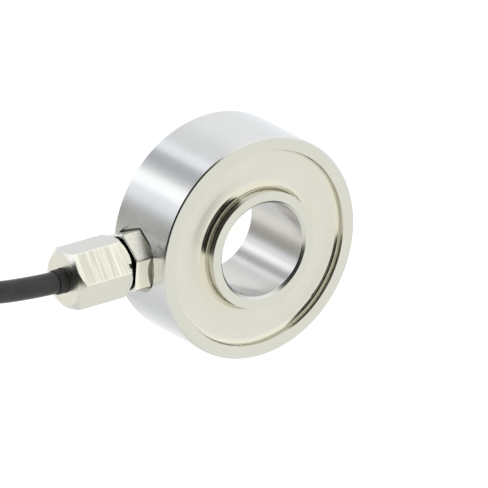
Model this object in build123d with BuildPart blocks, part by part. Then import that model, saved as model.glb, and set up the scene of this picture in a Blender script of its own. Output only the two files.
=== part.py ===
from build123d import *
import os
from math import cos, degrees, pi, radians, sin, tan

# A ring force sensor lying on its foot ring, in millimetres. The load goes in at the raised hub and out
# at the rim's foot, and the web between them bends. +Z runs up the bore, the cable leaves towards -X.

# Turned body, outside
outer_diameter = 52.0
bore_diameter = 22.0
hub_rise = 1.5  # the hub's load face above the rim
rim_width = 3.0  # flat ring round the recess
hub_wall = 2.7
recess_depth = 2.0
hub_root_fillet = 1.5
recess_fillet = 1.0
edge_chamfer = 0.3
bore_chamfer = 0.6

# Turned body, underside and gauge chamber. The heights from the foot up to the rim are a stack.
base_relief = 0.5  # hub and cover stay this far above the foot
cover_width = 8.2  # radially, midway between the bore and the rim
cover_thickness = 1.2
cover_edge = 0.15
cover_ledge = 0.9
board_ledge = 0.7
core_room = 1.42  # from the cable's upper cores up to the board
gauge_room = 2.8  # from the board up to the web
web_thickness = 3.0
web_fillet = 0.4

# Cable and its cores
cable_diameter = 5.0
lead_straight = 6.0  # the first run out of the lip
core_diameter = 1.2
core_spread = 0.88  # a core's centre from the cable's middle, along each axis
sheath_inside = 0.4  # sheath past the spigot's inner end
potting_length = 8.0

# Gland, from the cable outwards: each size is a wall or a step on the one inside it
gland_bore_play = 0.7
seat_step = 1.0
neck_wall = 1.25
nut_wall = 1.05  # under the middle of a flat
spigot_wall = 1.6
thread_clearance = 0.05
collar_wall = 0.3
collar_hole_clearance = 0.1
washer_hole_clearance = 0.15
washer_play = 0.55
bush_clearance = 0.05
ring_section = 1.0
ring_inner_gap = 0.05
ring_groove_spare = 0.2
hex_edge = 0.1
hex_edge_round = 0.2

# Gland, along its axis outwards from the spot face
spigot_overhang = 0.2
adapter_hex_length = 5.0
adapter_turn = 52.4  # degrees, where each hexagon came to rest when it was tightened
adapter_edge = 0.25
nut_gap = 0.6
nut_length = 14.7
nut_turn = 35.8
nut_outer_chamfer = 1.5
nut_inner_chamfer = 1.3
notch_turn = 107.4
notch_width = 0.9
notch_length = 1.0
notch_depth = 0.5
neck_length = 11.1
seat_depth = 6.0
seat_cone = 1.0
bush_proud = 1.0  # the bush's body past the neck
washer_thickness = 1.0
lip_length = 2.3
lip_round = 0.25

# Side port for the gland
port_margin = 0.345  # metal left below the spot face
spot_depth = 1.1
spot_clearance = 0.15

# Board, gauges and small parts in the chamber
board_thickness = 0.8
board_clearance = 0.15
board_gap_angle = 28.0  # half of the opening towards the port
gauge_width = 2.6
gauge_thickness = 0.15
gauge_round = 0.2
gauge_spacing = 0.4
gauge_angles = (45, 135, 225, 315)
wire_diameter = 0.24
wire_spacing = 1.8
resistor_length = 2.0
resistor_width = 1.25
resistor_height = 0.55
resistor_edge = 0.05
resistor_angles = (-30, -10, 10, 30)
pad_diameter = 1.6
pad_height = 0.15
upper_pad_angle = 36.0  # from the port, round to each side
lower_pad_angle = 46.0
core_turn_in = 2.3  # straight stretch out of the sheath
cover_clearance = 0.05

# Put-away length of cable: ten turns in rows of three, four and three
coil_center = (-109.5, -14.5)
coil_mean_radius = 30.0
coil_turns_across = 4
coil_rows = 3
coil_round = 3.5
coil_row_play = 0.1
tie_angle = -55.0
tie_width = 5.0
tie_thickness = 0.8
tail_gap = 0.05  # between the tail and the coil that it lies on
core_straight = 3.5  # straight stretch out of the sheath's far end
core_landing = 0.6  # the share of its length at which a core comes down onto the coil
drain_diameter = 0.9
drain_length = 23.0
tip_length = 6.0
tip_diameter = 0.8
tip_edge = 0.13

# Gland diameters that follow from the cable's
gland_bore_diameter = cable_diameter + 2 * gland_bore_play
seat_diameter = gland_bore_diameter + 2 * seat_step
neck_diameter = seat_diameter + 2 * neck_wall
hex_flats = neck_diameter + 2 * nut_wall
hex_corner_radius = hex_flats / 2 / cos(radians(30))
spigot_diameter = gland_bore_diameter + 2 * spigot_wall
port_diameter = spigot_diameter + 2 * thread_clearance
collar_diameter = cable_diameter + 2 * collar_wall
washer_hole_diameter = collar_diameter + 2 * washer_hole_clearance
washer_diameter = neck_diameter - 2 * washer_play

# Radii of the turned body
outer_radius = outer_diameter / 2
bore_radius = bore_diameter / 2
hub_radius = bore_radius + hub_wall
recess_radius = outer_radius - rim_width
chamber_middle = (outer_radius + bore_radius) / 2
seat_outer = chamber_middle + cover_width / 2
seat_inner = chamber_middle - cover_width / 2
chamber_outer = seat_outer - cover_ledge
chamber_inner = seat_inner + cover_ledge
web_outer = chamber_outer - board_ledge
web_inner = chamber_inner + board_ledge

# Heights, from the foot up
cover_top_z = base_relief + cover_thickness
spot_radius = hex_corner_radius + spot_clearance
port_z = spot_radius + port_margin
board_z = port_z + core_spread + core_diameter / 2 + core_room
board_top_z = board_z + board_thickness
web_z = board_top_z + gauge_room
floor_z = web_z + web_thickness
rim_height = floor_z + recess_depth
hub_z = rim_height + hub_rise

# Places along the gland, from the bore's axis outwards
spot_at = outer_radius - spot_depth
adapter_end = spot_at + adapter_hex_length
nut_start = adapter_end + nut_gap
nut_end = nut_start + nut_length
neck_end = adapter_end + neck_length
seat_start = neck_end - seat_depth
bush_body_end = neck_end + bush_proud
washer_end = bush_body_end + washer_thickness
spigot_end = chamber_outer - spigot_overhang
sheath_end = spigot_end - sheath_inside
lip_end = nut_end + lip_length

cable_radius = cable_diameter / 2
coil_inner = coil_mean_radius - coil_turns_across * cable_radius
coil_outer = coil_mean_radius + coil_turns_across * cable_radius
coil_height = coil_rows * cable_diameter + coil_row_play
coil_axis = Axis((*coil_center, 0), (0, 0, 1))
tie_sweep = degrees(tie_width / coil_mean_radius)

# Where the lead runs: out of the lip, down to the table and round into the coil
lead_route = [
    (-lip_end, 0.0, port_z),
    (-lip_end - lead_straight, 0.0, port_z),
    (-62.6, 0.4, 6.3),
    (-71.5, 2.2, 3.9),
    (-80.1, 6.4, cable_radius),
    (-87.0, 12.3, cable_radius),
]

# Where the cable climbs out of the top row and lies on the coil: radius, angle, height over the coil
tail_places = [
    (25.0, 132.0, -3.6),
    (25.4, 150.0, -2.6),
    (26.2, 168.0, -0.4),
    (27.2, 186.0, 1.8),
    (28.0, 204.0, cable_radius + tail_gap),
    (28.0, 222.0, cable_radius + tail_gap),
]

gland_axis = Axis((0, 0, port_z), (-1, 0, 0))
gland_section = Plane(origin=(0, 0, port_z), x_dir=(-1, 0, 0), z_dir=(0, 1, 0))


def gland_face(distance):
    """The plane square to the gland at a distance from the bore's axis, its X along -Y."""
    return Plane(origin=(-distance, 0, port_z), x_dir=(0, -1, 0), z_dir=(-1, 0, 0))


def around(radius, angle, height, center=(0.0, 0.0)):
    """A point at a radius, an angle in degrees and a height round a vertical axis."""
    return Vector(
        center[0] + radius * cos(radians(angle)), center[1] + radius * sin(radians(angle)), height
    )


def corner(profile, radius, height):
    """The corner of a turned profile that lies nearest to a radius and a height."""
    return profile.vertices().sort_by_distance((radius, height, 0))[0]


def arc_radii(points):
    """The largest arc that each inner point's two runs leave room for."""
    radii = []
    for before, here, after in zip(points, points[1:], points[2:]):
        run_in = Vector(here) - Vector(before)
        run_out = Vector(after) - Vector(here)
        turn = run_in.get_angle(run_out)
        radii.append(0.45 * min(run_in.length, run_out.length) / tan(radians(turn / 2)))
    return radii


def finish(builder, name):
    """Name a finished piece and write its STEP file."""
    builder.part.label = name
    export_step(builder.part, f"parts/{name}.step")
    return builder.part


def make_sensor_body():
    """One turned piece: foot, rim, web, hub and bore, with the gauge chamber and the side port."""
    with BuildPart() as body:
        with BuildSketch(Plane.XZ) as profile:
            with BuildLine():
                Polyline(
                    (bore_radius, base_relief),
                    (seat_inner, base_relief),
                    (seat_inner, cover_top_z),
                    (chamber_inner, cover_top_z),
                    (chamber_inner, board_top_z),
                    (web_inner, board_top_z),
                    (web_inner, web_z),
                    (web_outer, web_z),
                    (web_outer, board_top_z),
                    (chamber_outer, board_top_z),
                    (chamber_outer, cover_top_z),
                    (seat_outer, cover_top_z),
                    (seat_outer, 0),
                    (outer_radius, 0),
                    (outer_radius, rim_height),
                    (recess_radius, rim_height),
                    (recess_radius, floor_z),
                    (hub_radius, floor_z),
                    (hub_radius, hub_z),
                    (bore_radius, hub_z),
                    close=True,
                )
            make_face()
            fillet(corner(profile, hub_radius, floor_z), radius=hub_root_fillet)
            fillet(corner(profile, recess_radius, floor_z), radius=recess_fillet)
            for radius in (web_inner, web_outer):
                fillet(corner(profile, radius, web_z), radius=web_fillet)
            for height in (0, rim_height):
                chamfer(corner(profile, outer_radius, height), length=edge_chamfer)
            for height in (base_relief, hub_z):
                chamfer(corner(profile, bore_radius, height), length=bore_chamfer)
        revolve(axis=Axis.Z)
        with BuildSketch(gland_face(spot_at)):
            Circle(spot_radius)
        extrude(amount=spot_depth + edge_chamfer, mode=Mode.SUBTRACT)
        with BuildSketch(gland_face(spot_at)):
            Circle(port_diameter / 2)
        extrude(amount=chamber_middle - spot_at, mode=Mode.SUBTRACT)
    return finish(body, "sensor_body")


def make_bottom_cover():
    """Thin plate that closes the gauge chamber, let into the underside."""
    with BuildPart() as cover:
        with BuildSketch(Plane.XY.offset(base_relief)):
            Circle(seat_outer - cover_clearance)
            Circle(seat_inner + cover_clearance, mode=Mode.SUBTRACT)
        extrude(amount=cover_thickness)
        chamfer(cover.faces().sort_by(Axis.Z)[0].edges(), length=cover_edge)
    return finish(cover, "bottom_cover")


def make_gauges():
    """Foil gauges under the web, a near and a far one at each angle, with their pairs of wires."""
    across = web_outer - web_inner - 2 * web_fillet
    gauge_length = (across - 3 * gauge_spacing) / 2
    near_radius = web_inner + web_fillet + gauge_spacing + gauge_length / 2
    places = [(near_radius, angle) for angle in gauge_angles]
    places += [(near_radius + gauge_length + gauge_spacing, angle) for angle in gauge_angles]
    for number, (radius, angle) in enumerate(places, start=1):
        spot = around(radius, angle, web_z - gauge_thickness)
        gauge_plane = Plane(origin=spot, x_dir=around(1, angle, 0), z_dir=(0, 0, 1))
        with BuildPart() as gauge:
            with BuildSketch(gauge_plane):
                RectangleRounded(gauge_length, gauge_width, gauge_round)
            extrude(amount=gauge_thickness)
        finish(gauge, f"strain_gauge_{number}")
        with BuildPart() as wires:
            with BuildSketch(gauge_plane):
                with GridLocations(0, wire_spacing, 1, 2):
                    Circle(wire_diameter / 2)
            extrude(amount=-(gauge_room - gauge_thickness))
        finish(wires, f"gauge_wires_{number}")


def make_circuit_board():
    """C-shaped board under the two ledges, open towards the port."""
    gap_reach = 2 * chamber_outer
    with BuildPart() as board:
        with BuildSketch(Plane.XY.offset(board_z)):
            Circle(chamber_outer - board_clearance)
            Circle(chamber_inner + board_clearance, mode=Mode.SUBTRACT)
            with BuildLine():
                Polyline(
                    (0, 0),
                    tuple(around(gap_reach, 180 - board_gap_angle, 0))[:2],
                    tuple(around(gap_reach, 180 + board_gap_angle, 0))[:2],
                    close=True,
                )
            make_face(mode=Mode.SUBTRACT)
        extrude(amount=board_thickness)
    return finish(board, "circuit_board")


def make_trim_resistors():
    """Chip resistors that balance the bridge, under the board on the side away from the port."""
    for number, angle in enumerate(resistor_angles, start=1):
        under = around(chamber_middle, angle, board_z - resistor_height)
        with BuildPart() as resistor:
            with BuildSketch(Plane(origin=under, x_dir=around(1, angle + 90, 0), z_dir=(0, 0, 1))):
                Rectangle(resistor_length, resistor_width)
            extrude(amount=resistor_height)
            chamfer(resistor.faces().sort_by(Axis.Z)[0].edges(), length=resistor_edge)
        finish(resistor, f"trim_resistor_{number}")


def make_solder_pads():
    """Tinned pads under the board, one for each of the cable's cores."""
    angles = [180 + side * turn for side in (-1, 1) for turn in (upper_pad_angle, lower_pad_angle)]
    with BuildPart() as pads:
        for angle in angles:
            spot = around(chamber_middle, angle, board_z - pad_height)
            with BuildSketch(Plane(origin=spot, z_dir=(0, 0, 1))):
                Circle(pad_diameter / 2)
            extrude(amount=pad_height)
    return finish(pads, "solder_pads")


def make_core(name, side, level):
    """One insulated core from the sheath's cut end round the chamber and up to its pad.

    side is 1 towards +Y and -1 towards -Y. level is 1 for an upper core and -1 for a lower one.
    """
    turn = upper_pad_angle if level > 0 else lower_pad_angle
    height = port_z + level * core_spread
    across = side * core_spread
    turn_in = core_turn_in if level > 0 else core_turn_in + core_diameter / 2
    under_pad = around(chamber_middle, 180 - side * turn, height)
    route_points = [
        (-sheath_end, across, height),
        (-sheath_end + turn_in, across, height),
        tuple(under_pad),
        (under_pad.X, under_pad.Y, board_z - pad_height),
    ]
    with BuildPart() as core:
        with BuildLine() as route:
            FilletPolyline(*route_points, radius=arc_radii(route_points))
        with BuildSketch(Plane(origin=route_points[0], z_dir=(1, 0, 0))):
            Circle(core_diameter / 2)
        sweep(path=route.wires()[0])
    return finish(core, name)


def make_gland_adapter():
    """Hexagon with a threaded spigot for the body and a threaded neck for the nut."""
    bore = gland_bore_diameter / 2
    seat = seat_diameter / 2
    spigot = spigot_diameter / 2
    groove_outer = spigot + ring_inner_gap + ring_section + ring_groove_spare
    with BuildPart() as adapter:
        with BuildSketch(gland_face(spot_at)) as hexagon:
            RegularPolygon(hex_flats / 2, 6, major_radius=False, rotation=adapter_turn)
            chamfer(hexagon.vertices(), length=hex_edge)
        extrude(amount=adapter_hex_length)
        chamfer(adapter.faces().sort_by(Axis.X)[0].edges(), length=adapter_edge)
        chamfer(adapter.faces().sort_by(Axis.X)[-1].edges(), length=adapter_edge)
        with BuildSketch(gland_section):
            with BuildLine():
                Polyline(
                    (spot_at, 0),
                    (spot_at, groove_outer),
                    (spot_at + ring_section, groove_outer),
                    (spot_at + ring_section, 0),
                    close=True,
                )
            make_face()
        revolve(axis=gland_axis, mode=Mode.SUBTRACT)
        with BuildSketch(gland_section) as turned:
            with BuildLine():
                Polyline(
                    (spigot_end, 0),
                    (spigot_end, spigot),
                    (spot_at + ring_section, spigot),
                    (adapter_end, neck_diameter / 2),
                    (neck_end, neck_diameter / 2),
                    (neck_end, 0),
                    close=True,
                )
            make_face()
            chamfer(corner(turned, spigot_end, spigot), length=adapter_edge)
            chamfer(corner(turned, neck_end, neck_diameter / 2), length=adapter_edge)
        revolve(axis=gland_axis)
        with BuildSketch(gland_section):
            with BuildLine():
                Polyline(
                    (spigot_end, 0),
                    (spigot_end, bore),
                    (seat_start, bore),
                    (seat_start + seat_cone, seat),
                    (neck_end, seat),
                    (neck_end, 0),
                    close=True,
                )
            make_face()
        revolve(axis=gland_axis, mode=Mode.SUBTRACT)
    return finish(adapter, "gland_adapter")


def make_adapter_o_ring():
    """Rubber ring in the groove of the adapter's inner face."""
    spigot = spigot_diameter / 2
    with BuildPart() as o_ring:
        with BuildSketch(gland_section):
            with Locations((spot_at + ring_section / 2, spigot + ring_inner_gap + ring_section / 2)):
                Circle(ring_section / 2)
        revolve(axis=gland_axis)
    return finish(o_ring, "adapter_o_ring")


def make_gland_nut():
    """Long hexagon nut, chamfered at both ends, with the cable's hole in its end wall."""
    thread = neck_diameter / 2 + thread_clearance
    hole = collar_diameter / 2 + collar_hole_clearance
    with BuildPart() as nut:
        with BuildSketch(gland_face(nut_start)) as hexagon:
            RegularPolygon(hex_flats / 2, 6, major_radius=False, rotation=nut_turn)
            fillet(hexagon.vertices(), radius=hex_edge_round)
        extrude(amount=nut_length)
        with BuildSketch(gland_section):
            with BuildLine():
                Polyline(
                    (nut_start, 0),
                    (nut_start, hex_corner_radius - nut_inner_chamfer),
                    (nut_start + nut_inner_chamfer, hex_corner_radius),
                    (nut_end - nut_outer_chamfer, hex_corner_radius),
                    (nut_end, hex_corner_radius - nut_outer_chamfer),
                    (nut_end, 0),
                    close=True,
                )
            make_face()
        revolve(axis=gland_axis, mode=Mode.INTERSECT)
        with BuildSketch(gland_section):
            with BuildLine():
                Polyline(
                    (nut_start, 0),
                    (nut_start, thread),
                    (washer_end, thread),
                    (washer_end, hole),
                    (nut_end, hole),
                    (nut_end, 0),
                    close=True,
                )
            make_face()
        revolve(axis=gland_axis, mode=Mode.SUBTRACT)
        with BuildSketch(gland_face(nut_start)):
            with PolarLocations(hex_flats / 2, 1, start_angle=notch_turn):
                Rectangle(2 * notch_depth, notch_width)
        extrude(amount=notch_length, mode=Mode.SUBTRACT)
    return finish(nut, "gland_nut")


def make_thrust_washer():
    """Plain washer that lets the nut turn on the rubber bush."""
    with BuildPart() as washer:
        with BuildSketch(gland_face(bush_body_end)):
            Circle(washer_diameter / 2)
            Circle(washer_hole_diameter / 2, mode=Mode.SUBTRACT)
        extrude(amount=washer_thickness)
    return finish(washer, "thrust_washer")


def make_sealing_bush():
    """Rubber bush squeezed round the cable, whose collar ends in the lip outside the nut."""
    bore = cable_radius
    body_radius = seat_diameter / 2 - bush_clearance
    collar_radius = collar_diameter / 2
    with BuildPart() as bush:
        with BuildSketch(gland_section) as section:
            with BuildLine():
                Polyline(
                    (seat_start + bush_clearance, bore),
                    (seat_start + bush_clearance, gland_bore_diameter / 2 - bush_clearance),
                    (seat_start + seat_cone + bush_clearance, body_radius),
                    (bush_body_end, body_radius),
                    (bush_body_end, collar_radius),
                    (lip_end, collar_radius),
                    (lip_end, bore),
                    close=True,
                )
            make_face()
            fillet(corner(section, lip_end, collar_radius), radius=lip_round)
        revolve(axis=gland_axis)
    return finish(bush, "sealing_bush")


def make_potting_ring():
    """Sealing compound between the sheath and the adapter's bore."""
    with BuildPart() as potting:
        with BuildSketch(gland_face(spigot_end)):
            Circle(gland_bore_diameter / 2)
            Circle(cable_radius, mode=Mode.SUBTRACT)
        extrude(amount=potting_length)
    return finish(potting, "potting_ring")


def make_cable_in_gland():
    """The sheath's clamped stretch, from its cut end in the chamber out to the lip."""
    with BuildPart() as cable:
        with BuildSketch(gland_face(sheath_end)):
            Circle(cable_radius)
        extrude(amount=lip_end - sheath_end)
    return finish(cable, "cable_in_gland")


def coil_section(angle):
    """The upright plane through the coil's axis at an angle, its X pointing outwards."""
    return Plane(
        origin=(*coil_center, 0), x_dir=around(1, angle, 0), z_dir=around(1, angle - 90, 0)
    )


def turns_outline(inset=0.0, mode=Mode.ADD):
    """The outside of the wound turns' section, or the same shape drawn in by an inset."""
    return RectangleRounded(
        coil_outer - coil_inner - 2 * inset, coil_height - 2 * inset, coil_round - inset, mode=mode
    )


def make_coil_tie():
    """Flat strap that holds the turns together."""
    with BuildPart() as tie:
        with BuildSketch(coil_section(tie_angle - tie_sweep / 2)):
            with Locations((coil_mean_radius, coil_height / 2)):
                turns_outline()
                turns_outline(tie_thickness, Mode.SUBTRACT)
        revolve(axis=coil_axis, revolution_arc=tie_sweep)
    return finish(tie, "coil_tie")


def make_cable_coil():
    """The outside of the wound turns, pinched where the tie goes round."""
    with BuildPart() as coil:
        with BuildSketch(coil_section(tie_angle + tie_sweep / 2)):
            with Locations((coil_mean_radius, coil_height / 2)):
                turns_outline()
        revolve(axis=coil_axis, revolution_arc=360 - tie_sweep)
        with BuildSketch(coil_section(tie_angle - tie_sweep / 2)):
            with Locations((coil_mean_radius, coil_height / 2)):
                turns_outline(tie_thickness)
        revolve(axis=coil_axis, revolution_arc=tie_sweep)
    return finish(coil, "cable_coil")


def make_cable_lead(coil):
    """The stretch that isn't coiled, from the lip down to the table and into the coil's side."""
    radii = arc_radii(lead_route)
    print("lead arc radii, mm:", [round(radius, 1) for radius in radii])
    with BuildPart() as lead:
        with BuildLine() as route:
            FilletPolyline(*lead_route, radius=radii)
        with BuildSketch(Plane(origin=lead_route[0], z_dir=(-1, 0, 0))):
            Circle(cable_radius)
        path = route.wires()[0]
        sweep(path=path)
        expected = pi * cable_radius**2 * path.length
        print("lead volume over section times length:", round(lead.part.volume / expected, 4))
        add(coil, mode=Mode.SUBTRACT)
    return finish(lead, "cable_lead")


def make_cable_tail():
    """The sheath's last stretch, out of the top row and along the top of the coil.

    Returns the plane of the sheath's cut end, its X pointing outwards.
    """
    points = [
        around(radius, angle, coil_height + rise, coil_center) for radius, angle, rise in tail_places
    ]
    radii = arc_radii(points)
    print("tail arc radii, mm:", [round(radius, 1) for radius in radii])
    with BuildPart() as tail:
        with BuildLine() as route:
            FilletPolyline(*points, radius=radii)
        with BuildSketch(Plane(origin=points[0], z_dir=points[1] - points[0])):
            Circle(cable_radius)
        sweep(path=route.wires()[0])
        split(bisect_by=Plane.XY.offset(coil_height), keep=Keep.TOP)
    finish(tail, "cable_tail")
    along = (points[-1] - points[-2]).normalized()
    return Plane(origin=points[-1], x_dir=along.cross(Vector(0, 0, 1)), z_dir=along)


def make_core_tail(name, sheath_plane, start, spread, length, diameter):
    """One core out of the sheath's end, down onto the coil and along it.

    start is its place in the sheath, outwards and upwards, and spread is how far outwards from the
    cable's middle it lies where it comes down and where it ends. Returns the plane of its cut end.
    """
    lay_radius, lay_angle = tail_places[-1][:2]
    reach = degrees(length / lay_radius)
    rest_height = coil_height + diameter / 2
    first = sheath_plane.origin + sheath_plane.x_dir * start[0] + Vector(0, 0, start[1])
    down_angle = lay_angle + core_landing * reach
    route_points = [
        first,
        first + sheath_plane.z_dir * core_straight,
        around(lay_radius + spread[0], down_angle, rest_height, coil_center),
        around(lay_radius + spread[1], lay_angle + reach, rest_height, coil_center),
    ]
    with BuildPart() as core:
        with BuildLine() as route:
            FilletPolyline(*route_points, radius=arc_radii(route_points))
        with BuildSketch(Plane(origin=first, z_dir=sheath_plane.z_dir)):
            Circle(diameter / 2)
        sweep(path=route.wires()[0])
    finish(core, name)
    return Plane(origin=route_points[3], z_dir=route_points[3] - route_points[2])


def make_core_tip(name, end_plane):
    """Bare tinned strands past the core's insulation."""
    with BuildPart() as tip:
        with BuildSketch(end_plane):
            Circle(tip_diameter / 2)
        extrude(amount=tip_length)
        chamfer(tip.edges().sort_by_distance(end_plane.origin)[-1], length=tip_edge)
    return finish(tip, name)


def make_lead_end(sheath_plane):
    """The four cores and the drain wire that fan out of the cable's far end."""
    cores = (
        ("red", (-core_spread, core_spread), (-2.6, -4.8), 20.0),
        ("black", (-core_spread, -core_spread), (-0.6, -1.9), 18.0),
        ("green", (core_spread, -core_spread), (2.4, 2.8), 17.2),
        ("white", (core_spread, core_spread), (4.6, 6.2), 19.2),
    )
    for colour, start, spread, length in cores:
        name = f"{colour}_core_tail"
        end_plane = make_core_tail(name, sheath_plane, start, spread, length, core_diameter)
        make_core_tip(f"{colour}_core_tip", end_plane)
    make_core_tail("drain_wire_tail", sheath_plane, (0.0, 0.0), (0.9, 0.6), drain_length, drain_diameter)


os.makedirs("parts", exist_ok=True)
make_sensor_body()
make_bottom_cover()
make_gauges()
make_circuit_board()
make_trim_resistors()
make_solder_pads()
for core_name, core_side, core_level in (
    ("red_core", 1, 1),
    ("black_core", 1, -1),
    ("green_core", -1, 1),
    ("white_core", -1, -1),
):
    make_core(core_name, core_side, core_level)
make_gland_adapter()
make_adapter_o_ring()
make_gland_nut()
make_thrust_washer()
make_sealing_bush()
make_potting_ring()
make_cable_in_gland()
make_coil_tie()
make_cable_lead(make_cable_coil())
make_lead_end(make_cable_tail())
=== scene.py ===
"""Dresses the ring force sensor: its signal cable, its finishes, the studio round it and the camera."""

import logging
import math
from dataclasses import dataclass, field
from enum import Enum
from typing import Any

import bpy
from mathutils import Matrix, Vector

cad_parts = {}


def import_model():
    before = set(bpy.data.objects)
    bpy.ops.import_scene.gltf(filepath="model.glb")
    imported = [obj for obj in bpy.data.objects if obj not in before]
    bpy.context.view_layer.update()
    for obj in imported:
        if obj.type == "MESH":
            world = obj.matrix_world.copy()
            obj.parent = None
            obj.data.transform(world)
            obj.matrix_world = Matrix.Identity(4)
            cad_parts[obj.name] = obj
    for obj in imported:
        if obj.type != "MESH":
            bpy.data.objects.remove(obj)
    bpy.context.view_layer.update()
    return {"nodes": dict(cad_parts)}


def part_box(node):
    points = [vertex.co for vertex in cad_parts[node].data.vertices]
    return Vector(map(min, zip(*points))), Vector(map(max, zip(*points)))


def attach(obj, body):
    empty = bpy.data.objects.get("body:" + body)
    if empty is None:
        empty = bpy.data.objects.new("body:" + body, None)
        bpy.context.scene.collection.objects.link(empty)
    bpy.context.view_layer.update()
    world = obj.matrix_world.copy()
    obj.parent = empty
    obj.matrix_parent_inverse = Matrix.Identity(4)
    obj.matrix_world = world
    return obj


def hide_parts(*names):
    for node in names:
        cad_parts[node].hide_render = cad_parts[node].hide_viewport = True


log = logging.getLogger("ring_force_sensor")

MM = 0.001
FRAME_PIXELS = 488
BORE_RADIUS = 11.0
HEX_APOTHEM = 6.5
THREAD_GAP = 0.6
ADAPTER_LENGTH = 5.0


class Tint(Enum):
    """The colours that the studio's cards throw back."""

    NEUTRAL = (1.0, 1.0, 1.0)
    COOL = (0.965, 0.99, 1.03)
    WARM = (1.0, 0.985, 0.9)


class Signal:
    """A node's number output with Python's operators, each of which adds a Math node."""

    def __init__(self, graph: "Graph", socket: bpy.types.NodeSocket) -> None:
        """Args:
            graph: the graph that the socket belongs to.
            socket: the output that carries the number.
        """
        self.graph = graph
        self.socket = socket

    def __add__(self, other: "Signal | float") -> "Signal":
        """The sum."""
        return self.graph.math("ADD", self, other)

    __radd__ = __add__

    def __sub__(self, other: "Signal | float") -> "Signal":
        """The difference."""
        return self.graph.math("SUBTRACT", self, other)

    def __rsub__(self, other: "Signal | float") -> "Signal":
        """The difference, from the other side."""
        return self.graph.math("SUBTRACT", other, self)

    def __mul__(self, other: "Signal | float") -> "Signal":
        """The product."""
        return self.graph.math("MULTIPLY", self, other)

    __rmul__ = __mul__

    def __truediv__(self, other: "Signal | float") -> "Signal":
        """The quotient."""
        return self.graph.math("DIVIDE", self, other)


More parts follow.
